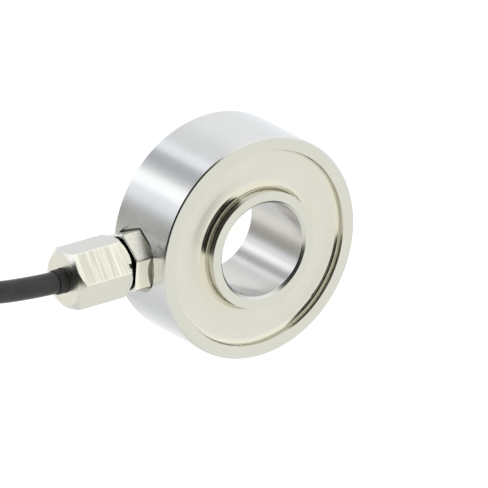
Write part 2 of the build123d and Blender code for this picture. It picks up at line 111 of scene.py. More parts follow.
class Graph:
    """The nodes of one material or of the world."""

    def __init__(self, tree: bpy.types.NodeTree) -> None:
        """Args:
            tree: the node tree to fill, which is emptied first.
        """
        self.tree = tree
        tree.nodes.clear()

    def node(
        self, kind: str, settings: dict[str, Any] | None = None, inputs: dict[Any, Any] | None = None
    ) -> bpy.types.Node:
        """Adds a node.

        Args:
            kind: the node's type.
            settings: its properties, set before its sockets. "stops" fills a colour ramp.
            inputs: its sockets by name or number, each with a value, a signal or another socket.

        Returns:
            The new node.
        """
        made = self.tree.nodes.new(kind)
        for name, value in (settings or {}).items():
            if name == "stops":
                self._fill_ramp(made.color_ramp, value)
            else:
                setattr(made, name, value)
        for name, value in (inputs or {}).items():
            self.feed(made.inputs[name], value)
        return made

    def _fill_ramp(self, ramp: bpy.types.ColorRamp, stops: list[tuple[float, tuple]]) -> None:
        """Sets a ramp's stops.

        Args:
            ramp: the colour ramp, which starts with two stops.
            stops: place and colour of each stop, in order.
        """
        for position, _ in stops[2:]:
            ramp.elements.new(position)
        for element, (position, colour) in zip(ramp.elements, stops):
            element.position = position
            element.color = (*colour, 1.0)

    def feed(self, socket: bpy.types.NodeSocket, value: Any) -> None:
        """Sets an input to a value, or links it.

        Args:
            socket: the input.
            value: a number, a tuple, a signal or another node's output.
        """
        source = value.socket if isinstance(value, Signal) else value
        if isinstance(source, bpy.types.NodeSocket):
            self.tree.links.new(source, socket)
        elif socket.type == "RGBA":
            socket.default_value = (*source[:3], 1.0)
        else:
            socket.default_value = source

    def math(self, operation: str, *values: "Signal | float") -> Signal:
        """A Math node on numbers and signals."""
        made = self.node("ShaderNodeMath", {"operation": operation}, dict(enumerate(values)))
        return Signal(self, made.outputs[0])

    def spread(self, value: Signal, low: float, high: float) -> Signal:
        """Turns a value's run from low to high into a smooth run from 0 to 1."""
        made = self.node(
            "ShaderNodeMapRange",
            {"interpolation_type": "SMOOTHSTEP"},
            {"Value": value, "From Min": low, "From Max": high},
        )
        return Signal(self, made.outputs["Result"])

    def between(self, value: Signal, low: float, high: float, soft: float) -> Signal:
        """A mask that is 1 from low to high and falls to 0 over soft at each end."""
        rise = self.spread(value, low - soft, low)
        fall = self.spread(value, high, high + soft)
        return rise * (1 - fall)

    def held(self, value: Signal, most: float) -> Signal:
        """A value, kept between 0 and a most."""
        return self.math("MINIMUM", self.math("MAXIMUM", value, 0.0), most)

    def blend(self, mask: Any, low: Any, high: Any) -> bpy.types.NodeSocket:
        """The colour low where the mask is 0 and high where it is 1."""
        made = self.node("ShaderNodeMix", {"data_type": "RGBA"}, {0: mask, 6: low, 7: high})
        return made.outputs[2]

    def shade(self, colour: Any, amount: Signal) -> bpy.types.NodeSocket:
        """The colour times a number."""
        made = self.node(
            "ShaderNodeVectorMath", {"operation": "SCALE"}, {0: colour, "Scale": amount}
        )
        return made.outputs[0]

    def vector(self, x: Any, y: Any, z: Any) -> bpy.types.NodeSocket:
        """Three numbers as one vector."""
        return self.node("ShaderNodeCombineXYZ", inputs={0: x, 1: y, 2: z}).outputs[0]

    def split(self, vector: bpy.types.NodeSocket) -> tuple[Signal, Signal, Signal]:
        """A vector's three numbers."""
        made = self.node("ShaderNodeSeparateXYZ", inputs={0: vector})
        return tuple(Signal(self, output) for output in made.outputs)

    def dot(self, vector: bpy.types.NodeSocket, direction: tuple[float, float, float]) -> Signal:
        """How far a vector points along a direction."""
        made = self.node(
            "ShaderNodeVectorMath", {"operation": "DOT_PRODUCT"}, {0: vector, 1: direction}
        )
        return Signal(self, made.outputs["Value"])

    def place_mm(self) -> bpy.types.NodeSocket:
        """The place on the part, in millimetres."""
        place = self.node("ShaderNodeTexCoord").outputs["Object"]
        made = self.node(
            "ShaderNodeVectorMath", {"operation": "SCALE"}, {0: place, "Scale": 1 / MM}
        )
        return made.outputs[0]

    def noise(self, vector: Any, scale: float = 1.0, detail: float = 2.0, rough: float = 0.5) -> Signal:
        """Soft noise about 0.5.

        Args:
            vector: where to read it.
            scale: how many features there are to a unit.
            detail: how many finer layers are added.
            rough: how strong each finer layer is.

        Returns:
            The noise.
        """
        made = self.node(
            "ShaderNodeTexNoise",
            inputs={"Vector": vector, "Scale": scale, "Detail": detail, "Roughness": rough},
        )
        return Signal(self, made.outputs["Fac"])

    def bump(self, height: Any, depth: float, under: Any = None) -> bpy.types.NodeSocket:
        """A normal raised by a height.

        Args:
            height: from 0 to 1.
            depth: what a height of 1 is, in millimetres.
            under: another bump's normal to start from.

        Returns:
            The normal.
        """
        inputs = {"Height": height, "Distance": depth * MM}
        if under is not None:
            inputs["Normal"] = under
        return self.node("ShaderNodeBump", inputs=inputs).outputs[0]


@dataclass(frozen=True)
class Finish:
    """What all finishes share: a name and a material that is made from it."""

    name: str

    def make(self) -> bpy.types.Material:
        """Makes the material."""
        material = bpy.data.materials.new(self.name)
        material.use_nodes = True
        graph = Graph(material.node_tree)
        shader = graph.node("ShaderNodeBsdfPrincipled")
        self.paint(graph, shader)
        graph.node("ShaderNodeOutputMaterial", inputs={"Surface": shader.outputs[0]})
        return material

    def paint(self, graph: Graph, shader: bpy.types.Node) -> None:
        """Sets the shader's sockets. Each kind of finish has its own.

        Args:
            graph: the material's nodes.
            shader: its Principled BSDF.
        """
        raise NotImplementedError

    def set_all(self, graph: Graph, shader: bpy.types.Node, **sockets: Any) -> None:
        """Feeds several of the shader's sockets, with underscores for spaces.

        Args:
            graph: the material's nodes.
            shader: its Principled BSDF.
            sockets: a value or a link for each socket.
        """
        for name, value in sockets.items():
            graph.feed(shader.inputs[name.replace("_", " ")], value)


@dataclass(frozen=True)
class TurnedStainless(Finish):
    """Stainless steel off the lathe: feed marks run round the bore on walls and faces alike."""

    outer_radius: float
    bore_radius: float
    hub_height: float
    gland_height: float
    hub_rise: float = 1.5
    recess_depth: float = 2.0
    recess_radius: float = 23.0
    hub_radius: float = 13.7
    root_fillet: float = 1.5
    wall_fillet: float = 1.0
    spot_x: float = -24.9
    spot_radius: float = 7.65
    gap_width: float = 0.25
    gap_fade: float = 0.17
    dull_reach: float = 9.0
    dull_fade: float = 4.0
    gland_side_x: float = -19.0
    sharp: float = 0.05
    faded: float = 0.5
    steel: tuple[float, float, float] = (0.735, 0.735, 0.73)
    straw: tuple[float, float, float] = (0.70, 0.655, 0.52)
    face_grey: tuple[float, float, float] = (0.70, 0.71, 0.715)
    bore_grey: tuple[float, float, float] = (0.65, 0.645, 0.635)
    spot_grey: tuple[float, float, float] = (0.72, 0.72, 0.70)
    # A painted shadow: the dark of the joint round the adapter's hexagon.
    gap_painted_shadow: tuple[float, float, float] = (0.06, 0.055, 0.045)
    # Painted reflection tints for the walls of the hub and the recess.
    hub_wall_reflection_tint: tuple[float, float, float] = (0.72, 0.705, 0.62)
    rim_wall_reflection_tint: tuple[float, float, float] = (0.76, 0.745, 0.67)
    hub_sweep: float = 0.055
    hub_sweep_reach: float = 3.3
    hub_sweep_run: float = 2.6
    rim_sweep: float = 0.058
    rim_sweep_reach: float = 2.7
    rim_sweep_run: float = 2.2
    feed_depth: float = 0.004
    fine_feed_depth: float = 0.0012
    arc_depth: float = 0.03
    face_roughness: float = 0.27
    wall_gloss: float = 0.09
    step_gloss: float = 0.13
    spot_matt: float = 0.3
    gland_dull: float = 0.1
    hex_flats: tuple[tuple[float, float, float], ...] = (
        (0.0, -0.132, 0.991),
        (0.0, 0.792, 0.610),
        (0.0, 0.924, -0.381),
    )
    apothem: float = HEX_APOTHEM

    def paint(self, graph: Graph, shader: bpy.types.Node) -> None:
        """Sets the shader's sockets.

        Args:
            graph: the material's nodes.
            shader: its Principled BSDF.
        """
        place = graph.place_mm()
        x, y, z = graph.split(place)
        radius = graph.math("SQRT", x * x + y * y)
        rim_height = self.hub_height - self.hub_rise
        floor_height = rim_height - self.recess_depth

        feed_place = graph.vector(radius, 0.0, z)
        feed = graph.noise(feed_place, 1.9, 4.0, 0.65)
        fine_feed = graph.noise(feed_place, 9.0, 2.0)
        round_place = graph.vector(x / radius * 1.6, y / radius * 1.6, (radius + z) * 5.0)
        arcs = graph.noise(round_place, 1.0, 3.0, 0.6)
        patches = graph.noise(place, 0.17, 3.0, 0.55)

        on_floor = 1 - graph.spread(z, floor_height + 0.1, floor_height + 0.5)
        in_recess = on_floor * graph.between(radius, self.hub_radius, self.recess_radius, 0.2)
        in_bore = 1 - graph.spread(radius, self.bore_radius + 0.05, self.bore_radius + 0.3)
        on_outside = graph.spread(radius, self.outer_radius - 0.25, self.outer_radius - 0.1)
        on_wall = in_bore + on_outside
        by_hub = in_recess * (1 - graph.spread(radius, self.hub_radius + 0.6, self.hub_radius + 4.0))

        hub_foot = (self.hub_radius - self.sharp, self.hub_radius + self.root_fillet)
        rim_foot = (self.recess_radius - self.wall_fillet, self.recess_radius + 0.02)
        on_hub = graph.between(radius, *hub_foot, self.sharp)
        on_rim = graph.between(radius, *rim_foot, self.sharp)
        in_wall = graph.between(z, floor_height + 0.06, self.hub_height - 0.1, self.sharp)
        by_step = graph.between(radius, *hub_foot, self.faded)
        by_step = by_step + graph.between(radius, *rim_foot, self.faded)
        by_step = by_step * graph.between(z, floor_height - 0.1, self.hub_height - 0.1, self.sharp)

        gland_z = z - self.gland_height
        from_gland = graph.math("SQRT", y * y + gland_z * gland_z)
        in_spot = 1 - graph.spread(x, self.spot_x + 0.3, self.spot_x + 0.4)
        in_spot = in_spot * (1 - graph.spread(from_gland, self.spot_radius, self.spot_radius + 0.02))
        near_gland = 1 - graph.spread(from_gland, self.dull_reach, self.dull_reach + self.dull_fade)
        gland_side = 1 - graph.spread(x, self.gland_side_x - 1.0, self.gland_side_x)
        by_gland = on_outside * near_gland * gland_side
        # Painted shadow: a thin dark line on the spot face round the hexagon, where the joint's shade
        # falls.
        off_hex = self.off_hexagon(graph, graph.vector(0.0, y, gland_z))
        in_gap_shadow = in_spot * (1 - graph.spread(off_hex, self.gap_width, self.gap_width + self.gap_fade))

        stain = by_hub * graph.spread(graph.noise(place, 0.13, 2.0), 0.45, 0.75)
        colour = graph.blend(in_recess, self.face_grey, self.steel)
        colour = graph.blend(in_bore, colour, self.bore_grey)
        colour = graph.blend(stain * 0.55, colour, self.straw)
        # Painted reflection: the walls are tinted cream and olive all round, standing in for the warm
        # light they mirror.
        colour = graph.blend(in_wall * on_hub, colour, self.hub_wall_reflection_tint)
        colour = graph.blend(in_wall * on_rim, colour, self.rim_wall_reflection_tint)
        colour = graph.blend(in_spot, colour, self.spot_grey)
        colour = graph.blend(in_gap_shadow, colour, self.gap_painted_shadow)
        colour = graph.shade(colour, 0.90 + 0.06 * feed + 0.08 * arcs + 0.08 * patches)

        roughness = self.face_roughness + 0.10 * (feed - 0.5) + 0.14 * (arcs - 0.5) * on_wall
        roughness = roughness - self.wall_gloss * on_wall - self.step_gloss * by_step
        roughness = roughness + self.spot_matt * in_spot + self.gland_dull * by_gland
        to_hub = graph.held(self.hub_radius + self.hub_sweep_reach - radius, self.hub_sweep_run)
        to_rim = graph.held(radius - self.recess_radius + self.rim_sweep_reach, self.rim_sweep_run)
        marks = graph.bump(to_hub * to_hub * self.hub_sweep + to_rim * to_rim * self.rim_sweep, 1.0)
        marks = graph.bump(feed, self.feed_depth, marks)
        marks = graph.bump(fine_feed, self.fine_feed_depth, marks)
        marks = graph.bump(arcs * in_bore, self.arc_depth, marks)
        self.set_all(
            graph,
            shader,
            Base_Color=colour,
            Metallic=1 - in_spot,
            Roughness=roughness,
            Normal=marks,
        )

    def off_hexagon(self, graph: Graph, from_axis: bpy.types.NodeSocket) -> Signal:
        """How far a place on the spot face lies outside the adapter's hexagon, in millimetres.

        Args:
            graph: the material's nodes.
            from_axis: the place from the gland's axis, in millimetres.

        Returns:
            The distance, which is negative under the hexagon.
        """
        reaches = [graph.math("ABSOLUTE", graph.dot(from_axis, way)) for way in self.hex_flats]
        reach = graph.math("MAXIMUM", graph.math("MAXIMUM", reaches[0], reaches[1]), reaches[2])
        return reach - self.apothem


@dataclass(frozen=True)
class BrightNickel(Finish):
    """Nickel plating over milled flats, whose cutter marks run across the gland."""

    axis_height: float
    apothem: float
    nut_from: float
    nut_to: float
    adapter_to: float
    adapter_from: float
    bright_flat: tuple[float, float, float] = (0.0, 0.585, 0.811)
    satin_flat: tuple[float, float, float] = (0.0, 0.995, -0.101)
    notch_way: tuple[float, float, float] = (0.0, 0.299, 0.954)
    notch_across: tuple[float, float, float] = (0.0, 0.954, -0.299)
    notch_length: float = 1.0
    notch_half_width: float = 0.5
    notch_low: float = 5.7
    notch_high: float = 7.0
    corner_rise: float = 0.82
    end_width: float = 0.24
    streak_depth: float = 0.02
    grain_depth: float = 0.003
    ring_depth: float = 0.012
    nickel: tuple[float, float, float] = (0.80, 0.795, 0.755)
    # Light colour of the painted highlights: the cut flat's light streaks and the nut's corners.
    light: tuple[float, float, float] = (0.86, 0.855, 0.81)
    dull: tuple[float, float, float] = (0.66, 0.66, 0.605)
    # Painted shade: a darker colour for one flat, whose added roughness is its satin finish.
    satin_shaded: tuple[float, float, float] = (0.71, 0.705, 0.69)
    adapter_flat: tuple[float, float, float] = (0.0, -0.132, 0.991)
    # A painted highlight: the lighter colour of the adapter's lower flat.
    painted_flat_highlight: tuple[float, float, float] = (0.99, 0.97, 0.92)
    # Painted shade for the lines along the adapter's corners.
    corner_painted_shade: tuple[float, float, float] = (0.30, 0.29, 0.27)
    # A painted highlight for the adapter's end edges.
    painted_edge_highlight: tuple[float, float, float] = (0.96, 0.95, 0.92)
    shadow: tuple[float, float, float] = (0.03, 0.028, 0.024)
    marks_to_a_mm: float = 1.1

    def paint(self, graph: Graph, shader: bpy.types.Node) -> None:
        """Sets the shader's sockets.

        Args:
            graph: the material's nodes.
            shader: its Principled BSDF.
        """
        place = graph.place_mm()
        x, y, z = graph.split(place)
        z = z - self.axis_height
        from_axis = graph.vector(0.0, y, z)
        radius = graph.math("SQRT", y * y + z * z)
        on_nut = 1 - graph.spread(x, self.nut_from - 0.02, self.nut_from + 0.02)
        painted_streak_flat = on_nut * self.on_flat(graph, from_axis, self.bright_flat)
        satin_shaded = on_nut * self.on_flat(graph, from_axis, self.satin_flat)
        end_face = 1 - graph.spread(x, self.nut_to + 0.05, self.nut_to + 0.1)

        across = graph.vector(x * self.marks_to_a_mm, y * 0.07, z * 0.07)
        streaks = graph.noise(across, 1.0, 5.0, 0.62)
        grain = graph.noise(place, 2.2, 4.0, 0.65)
        rings = graph.noise(graph.vector(radius, 0.0, 0.0), 5.0, 3.0)
        cut = graph.spread(streaks, 0.36, 0.64)
        mottle = graph.spread(grain, 0.35, 0.65)

        colour = graph.blend(mottle * (1 - 0.6 * on_nut), self.nickel, self.dull)
        # Cutter marks on one of the nut's flats: their bump is real, and their light and dull streaks in
        # colour are painted highlight.
        colour = graph.blend(painted_streak_flat, colour, graph.blend(cut, self.dull, self.light))
        # Painted shade on one of the nut's flats, with a satin roughness added below.
        colour = graph.blend(satin_shaded, colour, self.satin_shaded)
        # Painted highlight: the adapter's lower flat is made lighter than its other flats.
        lower = (1 - on_nut) * self.on_flat(graph, from_axis, self.adapter_flat)
        colour = graph.blend(lower, colour, self.painted_flat_highlight)
        # Painted shade and highlight along the hexagons' corners: dark lines on the adapter, light lines
        # on the nut.
        corner_radius = self.apothem + self.corner_rise
        corner = graph.spread(radius, corner_radius, corner_radius + 0.1)
        colour = graph.blend(corner * 0.8, colour, graph.blend(on_nut, self.corner_painted_shade, self.light))
        # Painted highlight: light lines along the adapter's chamfered end edges.
        ends = graph.between(x, self.adapter_to + self.end_width, self.adapter_from - self.end_width, 0.04)
        ends = 1 - ends
        ends = ends * (1 - on_nut) * graph.spread(radius, self.apothem - 0.4, self.apothem - 0.3)
        colour = graph.blend(ends, colour, self.painted_edge_highlight)
        colour = graph.blend(self.in_shadow(graph, x, radius, from_axis), colour, self.shadow)
        roughness = 0.26 - 0.08 * cut * painted_streak_flat + 0.12 * (grain - 0.5) + 0.08 * satin_shaded - 0.1 * lower
        marks = graph.bump(streaks * painted_streak_flat, self.streak_depth)
        marks = graph.bump(grain, self.grain_depth, marks)
        marks = graph.bump(rings * end_face, self.ring_depth, marks)
        self.set_all(
            graph,
            shader,
            Base_Color=colour,
            Metallic=1.0,
            Roughness=roughness,
            Normal=marks,
        )

    def on_flat(
        self, graph: Graph, from_axis: bpy.types.NodeSocket, way: tuple[float, float, float]
    ) -> Signal:
        """A mask of the flat that faces a way.

        Args:
            graph: the material's nodes.
            from_axis: the place from the gland's axis, in millimetres.
            way: the flat's normal.

        Returns:
            1 on the flat and 0 off it.
        """
        return graph.spread(graph.dot(from_axis, way), self.apothem - 0.1, self.apothem - 0.03)

    def in_shadow(
        self, graph: Graph, x: Signal, radius: Signal, from_axis: bpy.types.NodeSocket
    ) -> Signal:
        """A mask of the thread between nut and adapter, and of the nut's notch.

        Args:
            graph: the material's nodes.
            x: along the gland, in millimetres.
            radius: from the gland's axis, in millimetres.
            from_axis: the place from the gland's axis, in millimetres.

        Returns:
            1 in these narrow places and 0 elsewhere.
        """
        gap = graph.between(x, self.nut_from - 0.03, self.adapter_to + 0.03, 0.02)
        thread = gap * (1 - graph.spread(radius, self.apothem - 0.35, self.apothem - 0.2))
        aside = graph.math("ABSOLUTE", graph.dot(from_axis, self.notch_across))
        outwards = graph.dot(from_axis, self.notch_way)
        notch_end = self.nut_from - self.notch_length
        notch = graph.spread(x, notch_end - 0.3, notch_end - 0.2)
        notch = notch * (1 - graph.spread(x, self.nut_from, self.nut_from + 0.05))
        notch = notch * (1 - graph.spread(aside, self.notch_half_width, self.notch_half_width + 0.08))
        notch = notch * graph.between(outwards, self.notch_low, self.notch_high, 0.1)
        return graph.math("MAXIMUM", thread, notch)


@dataclass(frozen=True)
class PlainMetal(Finish):
    """Small metal parts: washer, solder, foil and bare strands."""

    colour: tuple[float, float, float]
    dark: tuple[float, float, float]
    roughness: float
    grain_to_a_mm: float = 4.0
    grain_depth: float = 0.004

    def paint(self, graph: Graph, shader: bpy.types.Node) -> None:
        """Sets the shader's sockets.

        Args:
            graph: the material's nodes.
            shader: its Principled BSDF.
        """
        grain = graph.noise(graph.place_mm(), self.grain_to_a_mm, 3.0)
        colour = graph.blend(graph.spread(grain, 0.3, 0.7), self.dark, self.colour)
        self.set_all(
            graph,
            shader,
            Base_Color=colour,
            Metallic=1.0,
            Roughness=self.roughness + 0.15 * (grain - 0.5),
            Normal=graph.bump(grain, self.grain_depth),
        )


@dataclass(frozen=True)
class Moulded(Finish):
    """Rubber, plastic and resin: a body colour with fine mottle and skin."""

    colour: tuple[float, float, float]
    light: tuple[float, float, float]
    roughness: float
    mottle_to_a_mm: float = 0.6
    skin_to_a_mm: float = 6.0
    skin_depth: float = 0.006
    sheen: float = 0.0

    def paint(self, graph: Graph, shader: bpy.types.Node) -> None:
        """Sets the shader's sockets.

        Args:
            graph: the material's nodes.
            shader: its Principled BSDF.
        """
        place = graph.place_mm()
        mottle = graph.noise(place, self.mottle_to_a_mm, 3.0)
        skin = graph.noise(place, self.skin_to_a_mm, 2.0)
        self.set_all(
            graph,
            shader,
            Base_Color=graph.blend(graph.spread(mottle, 0.3, 0.75), self.colour, self.light),
            Roughness=self.roughness + 0.12 * (mottle - 0.5) + 0.08 * (skin - 0.5),
            Normal=graph.bump(skin, self.skin_depth),
            Sheen_Weight=self.sheen,
        )


@dataclass(frozen=True)
class Card:
    """Where the light tent's lower wall changes: an azimuth in degrees, a brightness and a tint."""

    azimuth: float
    level: float
    tint: Tint = Tint.NEUTRAL


@dataclass
class LightTent:
    """The studio that the metal mirrors: white walls with grey cards, and the dark room past the lens."""

    cards: tuple[Card, ...] = (
        Card(-36.0, 1.10),
        Card(-6.0, 1.03, Tint.COOL),
        Card(16.0, 1.0),
        Card(54.0, 1.05),
        Card(74.0, 0.92),
        Card(90.0, 0.90),
        Card(92.0, 1.18, Tint.COOL),
        Card(102.5, 1.16),
        Card(104.5, 0.62, Tint.COOL),
        Card(116.0, 0.56, Tint.COOL),
        Card(125.0, 0.85),
        Card(131.0, 1.45),
        Card(142.0, 1.45),
        Card(144.5, 1.10, Tint.COOL),
        Card(155.0, 1.08, Tint.COOL),
        Card(164.0, 0.63),
        Card(174.0, 0.46, Tint.WARM),
        Card(186.0, 0.52, Tint.WARM),
        Card(196.0, 0.66, Tint.WARM),
        Card(207.0, 1.02, Tint.WARM),
        Card(226.0, 1.02, Tint.WARM),
        Card(240.0, 0.84),
        Card(264.0, 0.78),
        Card(284.0, 0.92),
        Card(304.0, 1.04),
    )
    ceiling: tuple[float, float, float] = (0.985, 0.965, 0.845)
    horizon: tuple[float, float, float] = (0.87, 0.87, 0.83)
    lamp_ceiling: tuple[float, float, float] = (1.10, 1.10, 1.0)
    lamp_horizon: tuple[float, float, float] = (1.15, 1.14, 1.10)
    lamp_side: tuple[float, float, float] = (0.35, 0.93, 0.0)
    room: tuple[float, float, float] = (0.022, 0.021, 0.018)
    room_sides: tuple[tuple[float, float, float], ...] = (
        (-0.999, 0.035, 0.0),
        (-0.172, 0.974, 0.150),
    )
    ramp_scale: float = 2.0
    room_soft: tuple[float, float] = (-0.03, 0.05)
    room_top: tuple[float, float] = (0.86, 1.0)
    lamp_turn: tuple[float, float] = (-0.3, 0.8)
    ceiling_rise: tuple[float, float] = (0.1, 0.68)
    wall_top: tuple[float, float] = (-0.1, 0.04)

    def build(self) -> None:
        """Makes the world: the tent for mirrors and soft light, plain white for the lens."""
        world = bpy.data.worlds.new("light_tent")
        bpy.context.scene.world = world
        world.use_nodes = True
        graph = Graph(world.node_tree)
        direction = graph.node("ShaderNodeTexCoord").outputs["Generated"]
        x, y, z = graph.split(direction)
        start = self.cards[0].azimuth
        turn = graph.math("ARCTAN2", y, x) / math.tau - start / 360
        stops = [
            (
                (card.azimuth - start) / 360,
                tuple(channel * card.level / self.ramp_scale for channel in card.tint.value),
            )
            for card in self.cards
        ]
        stops.append((1.0, stops[0][1]))
        walls = graph.node(
            "ShaderNodeValToRGB", {"stops": stops}, {"Fac": graph.math("FRACT", turn)}
        ).outputs["Color"]
        walls = graph.shade(walls, self.ramp_scale)
        by_lamp = graph.spread(graph.dot(direction, self.lamp_side), *self.lamp_turn)
        low = graph.blend(by_lamp, self.horizon, self.lamp_horizon)
        high = graph.blend(by_lamp, self.ceiling, self.lamp_ceiling)
        upper = graph.blend(graph.spread(z, *self.ceiling_rise), low, high)
        sides = [graph.spread(graph.dot(direction, side), *self.room_soft) for side in self.room_sides]
        path = graph.node("ShaderNodeLightPath").outputs
        to_mirror = 1 - Signal(graph, path["Is Diffuse Ray"])
        in_room = sides[0] * sides[1] * (1 - graph.spread(z, *self.room_top)) * to_mirror
        upper = graph.blend(in_room, upper, self.room)
        tent = graph.blend(graph.spread(z, *self.wall_top), walls, upper)
        lit = graph.node("ShaderNodeBackground", inputs={"Color": tent, "Strength": 1.0})
        white = graph.node("ShaderNodeBackground", inputs={"Color": (1.0, 1.0, 1.0)})
        seen = graph.node(
            "ShaderNodeMixShader",
            inputs={0: path["Is Camera Ray"], 1: lit.outputs[0], 2: white.outputs[0]},
        )
        graph.node("ShaderNodeOutputWorld", inputs={"Surface": seen.outputs[0]})


@dataclass
class Table:
    """The white table top. Mirror rays pass through it, to the tent's lower wall."""

    reach: float = 1.6
    white: tuple[float, float, float] = (0.30, 0.30, 0.30)
    lift: float = 0.90
    bounce: float = 0.35

    def build(self) -> None:
        """Makes the table."""
        deselect_all()
        bpy.ops.mesh.primitive_plane_add(size=2 * self.reach, location=(0.0, 0.0, 0.0))
        table = bpy.context.object
        table.name = "table_top"
        material = bpy.data.materials.new("table_white")
        material.use_nodes = True
        graph = Graph(material.node_tree)
        matt = graph.node("ShaderNodeBsdfDiffuse", inputs={"Color": self.white})
        path = graph.node("ShaderNodeLightPath").outputs
        glow = graph.node(
            "ShaderNodeEmission",
            inputs={
                "Color": (1.0, 1.0, 1.0),
                "Strength": Signal(graph, path["Is Camera Ray"]) * self.lift
                + Signal(graph, path["Is Diffuse Ray"]) * self.bounce,
            },
        )
        lit = graph.node("ShaderNodeAddShader", inputs={0: matt.outputs[0], 1: glow.outputs[0]})
        clear = graph.node("ShaderNodeBsdfTransparent")
        seen = graph.node(
            "ShaderNodeMixShader",
            inputs={0: path["Is Glossy Ray"], 1: lit.outputs[0], 2: clear.outputs[0]},
        )
        graph.node("ShaderNodeOutputMaterial", inputs={"Surface": seen.outputs[0]})
        table.data.materials.append(material)


@dataclass
class Viewpoint:
    """The camera, far off with a long lens, as the photograph's flat perspective asks."""

    aim: tuple[float, float, float] = (-2.6, 0.926, 17.184)
    right: tuple[float, float, float] = (0.8132, -0.0126, 0.5819)
    up: tuple[float, float, float] = (0.2347, 0.9220, -0.3081)
    distance: float = 2450.0
    pixels_to_a_mm: float = 4.503
    sensor_width: float = 36.0

    def build(self) -> None:
        """Makes the camera and sets it as the scene's."""
        data = bpy.data.cameras.new("viewpoint")
        data.sensor_width = self.sensor_width
        data.lens = self.sensor_width * self.distance * self.pixels_to_a_mm / FRAME_PIXELS
        camera = bpy.data.objects.new("viewpoint", data)
        bpy.context.collection.objects.link(camera)
        right = Vector(self.right).normalized()
        back = right.cross(Vector(self.up)).normalized()
        turned = Matrix((right, back.cross(right), back)).transposed().to_4x4()
        place = (Vector(self.aim) + back * self.distance) * MM
        camera.matrix_world = Matrix.Translation(place) @ turned
        bpy.context.scene.camera = camera


